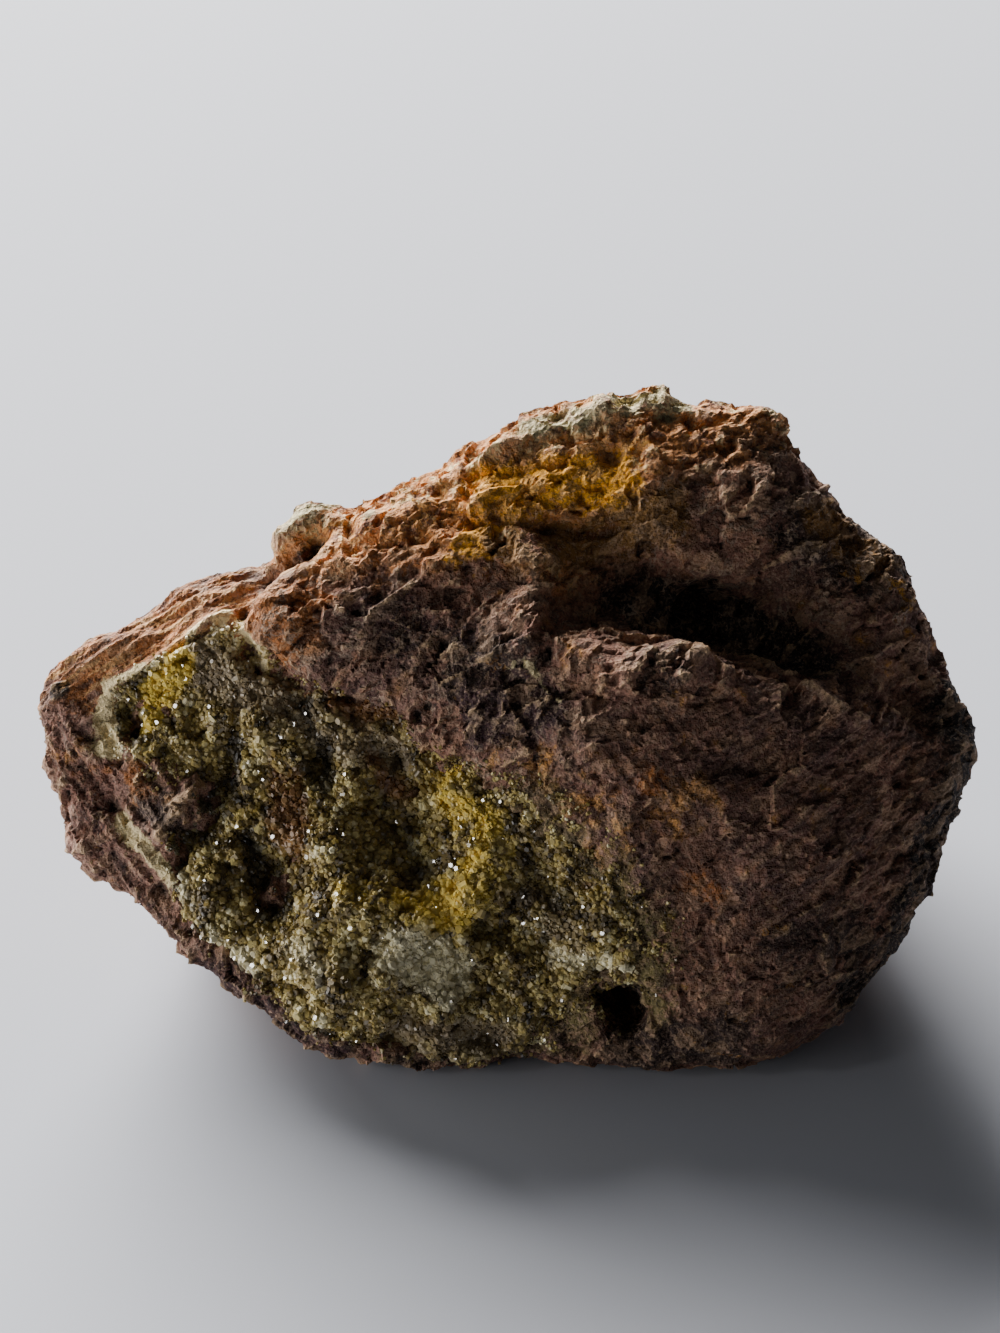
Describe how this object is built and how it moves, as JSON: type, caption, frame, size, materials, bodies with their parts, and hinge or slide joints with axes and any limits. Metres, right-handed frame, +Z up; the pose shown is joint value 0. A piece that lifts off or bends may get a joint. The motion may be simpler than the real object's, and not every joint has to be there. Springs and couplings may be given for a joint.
{
  "type": "pyromorphite specimen",
  "caption": "Hand-sized lump of iron-stained brown rock whose front hollow is lined with a crust of tiny olive and yellow hexagonal crystals.",
  "frame": {"origin": "centre of the bounding box in plan, on the flat that the specimen rests on", "axes": "+Z up, +X along the long side, from the end with the crust towards the blunt end; the crust-lined hollow faces -Y and up"},
  "size_m": [0.0944, 0.0592, 0.0488],
  "materials": {
    "matrix_rock": "rough, earthy, purple-brown vein rock stained orange, ochre and cream by iron",
    "pyromorphite": "sugary crust of resinous, glinting crystals, olive green to lemon yellow, grey in places"
  },
  "bodies": {
    "root": {"matrix_rock": "matrix_rock", "pyromorphite_crust": "pyromorphite"}
  },
  "joints": []
}
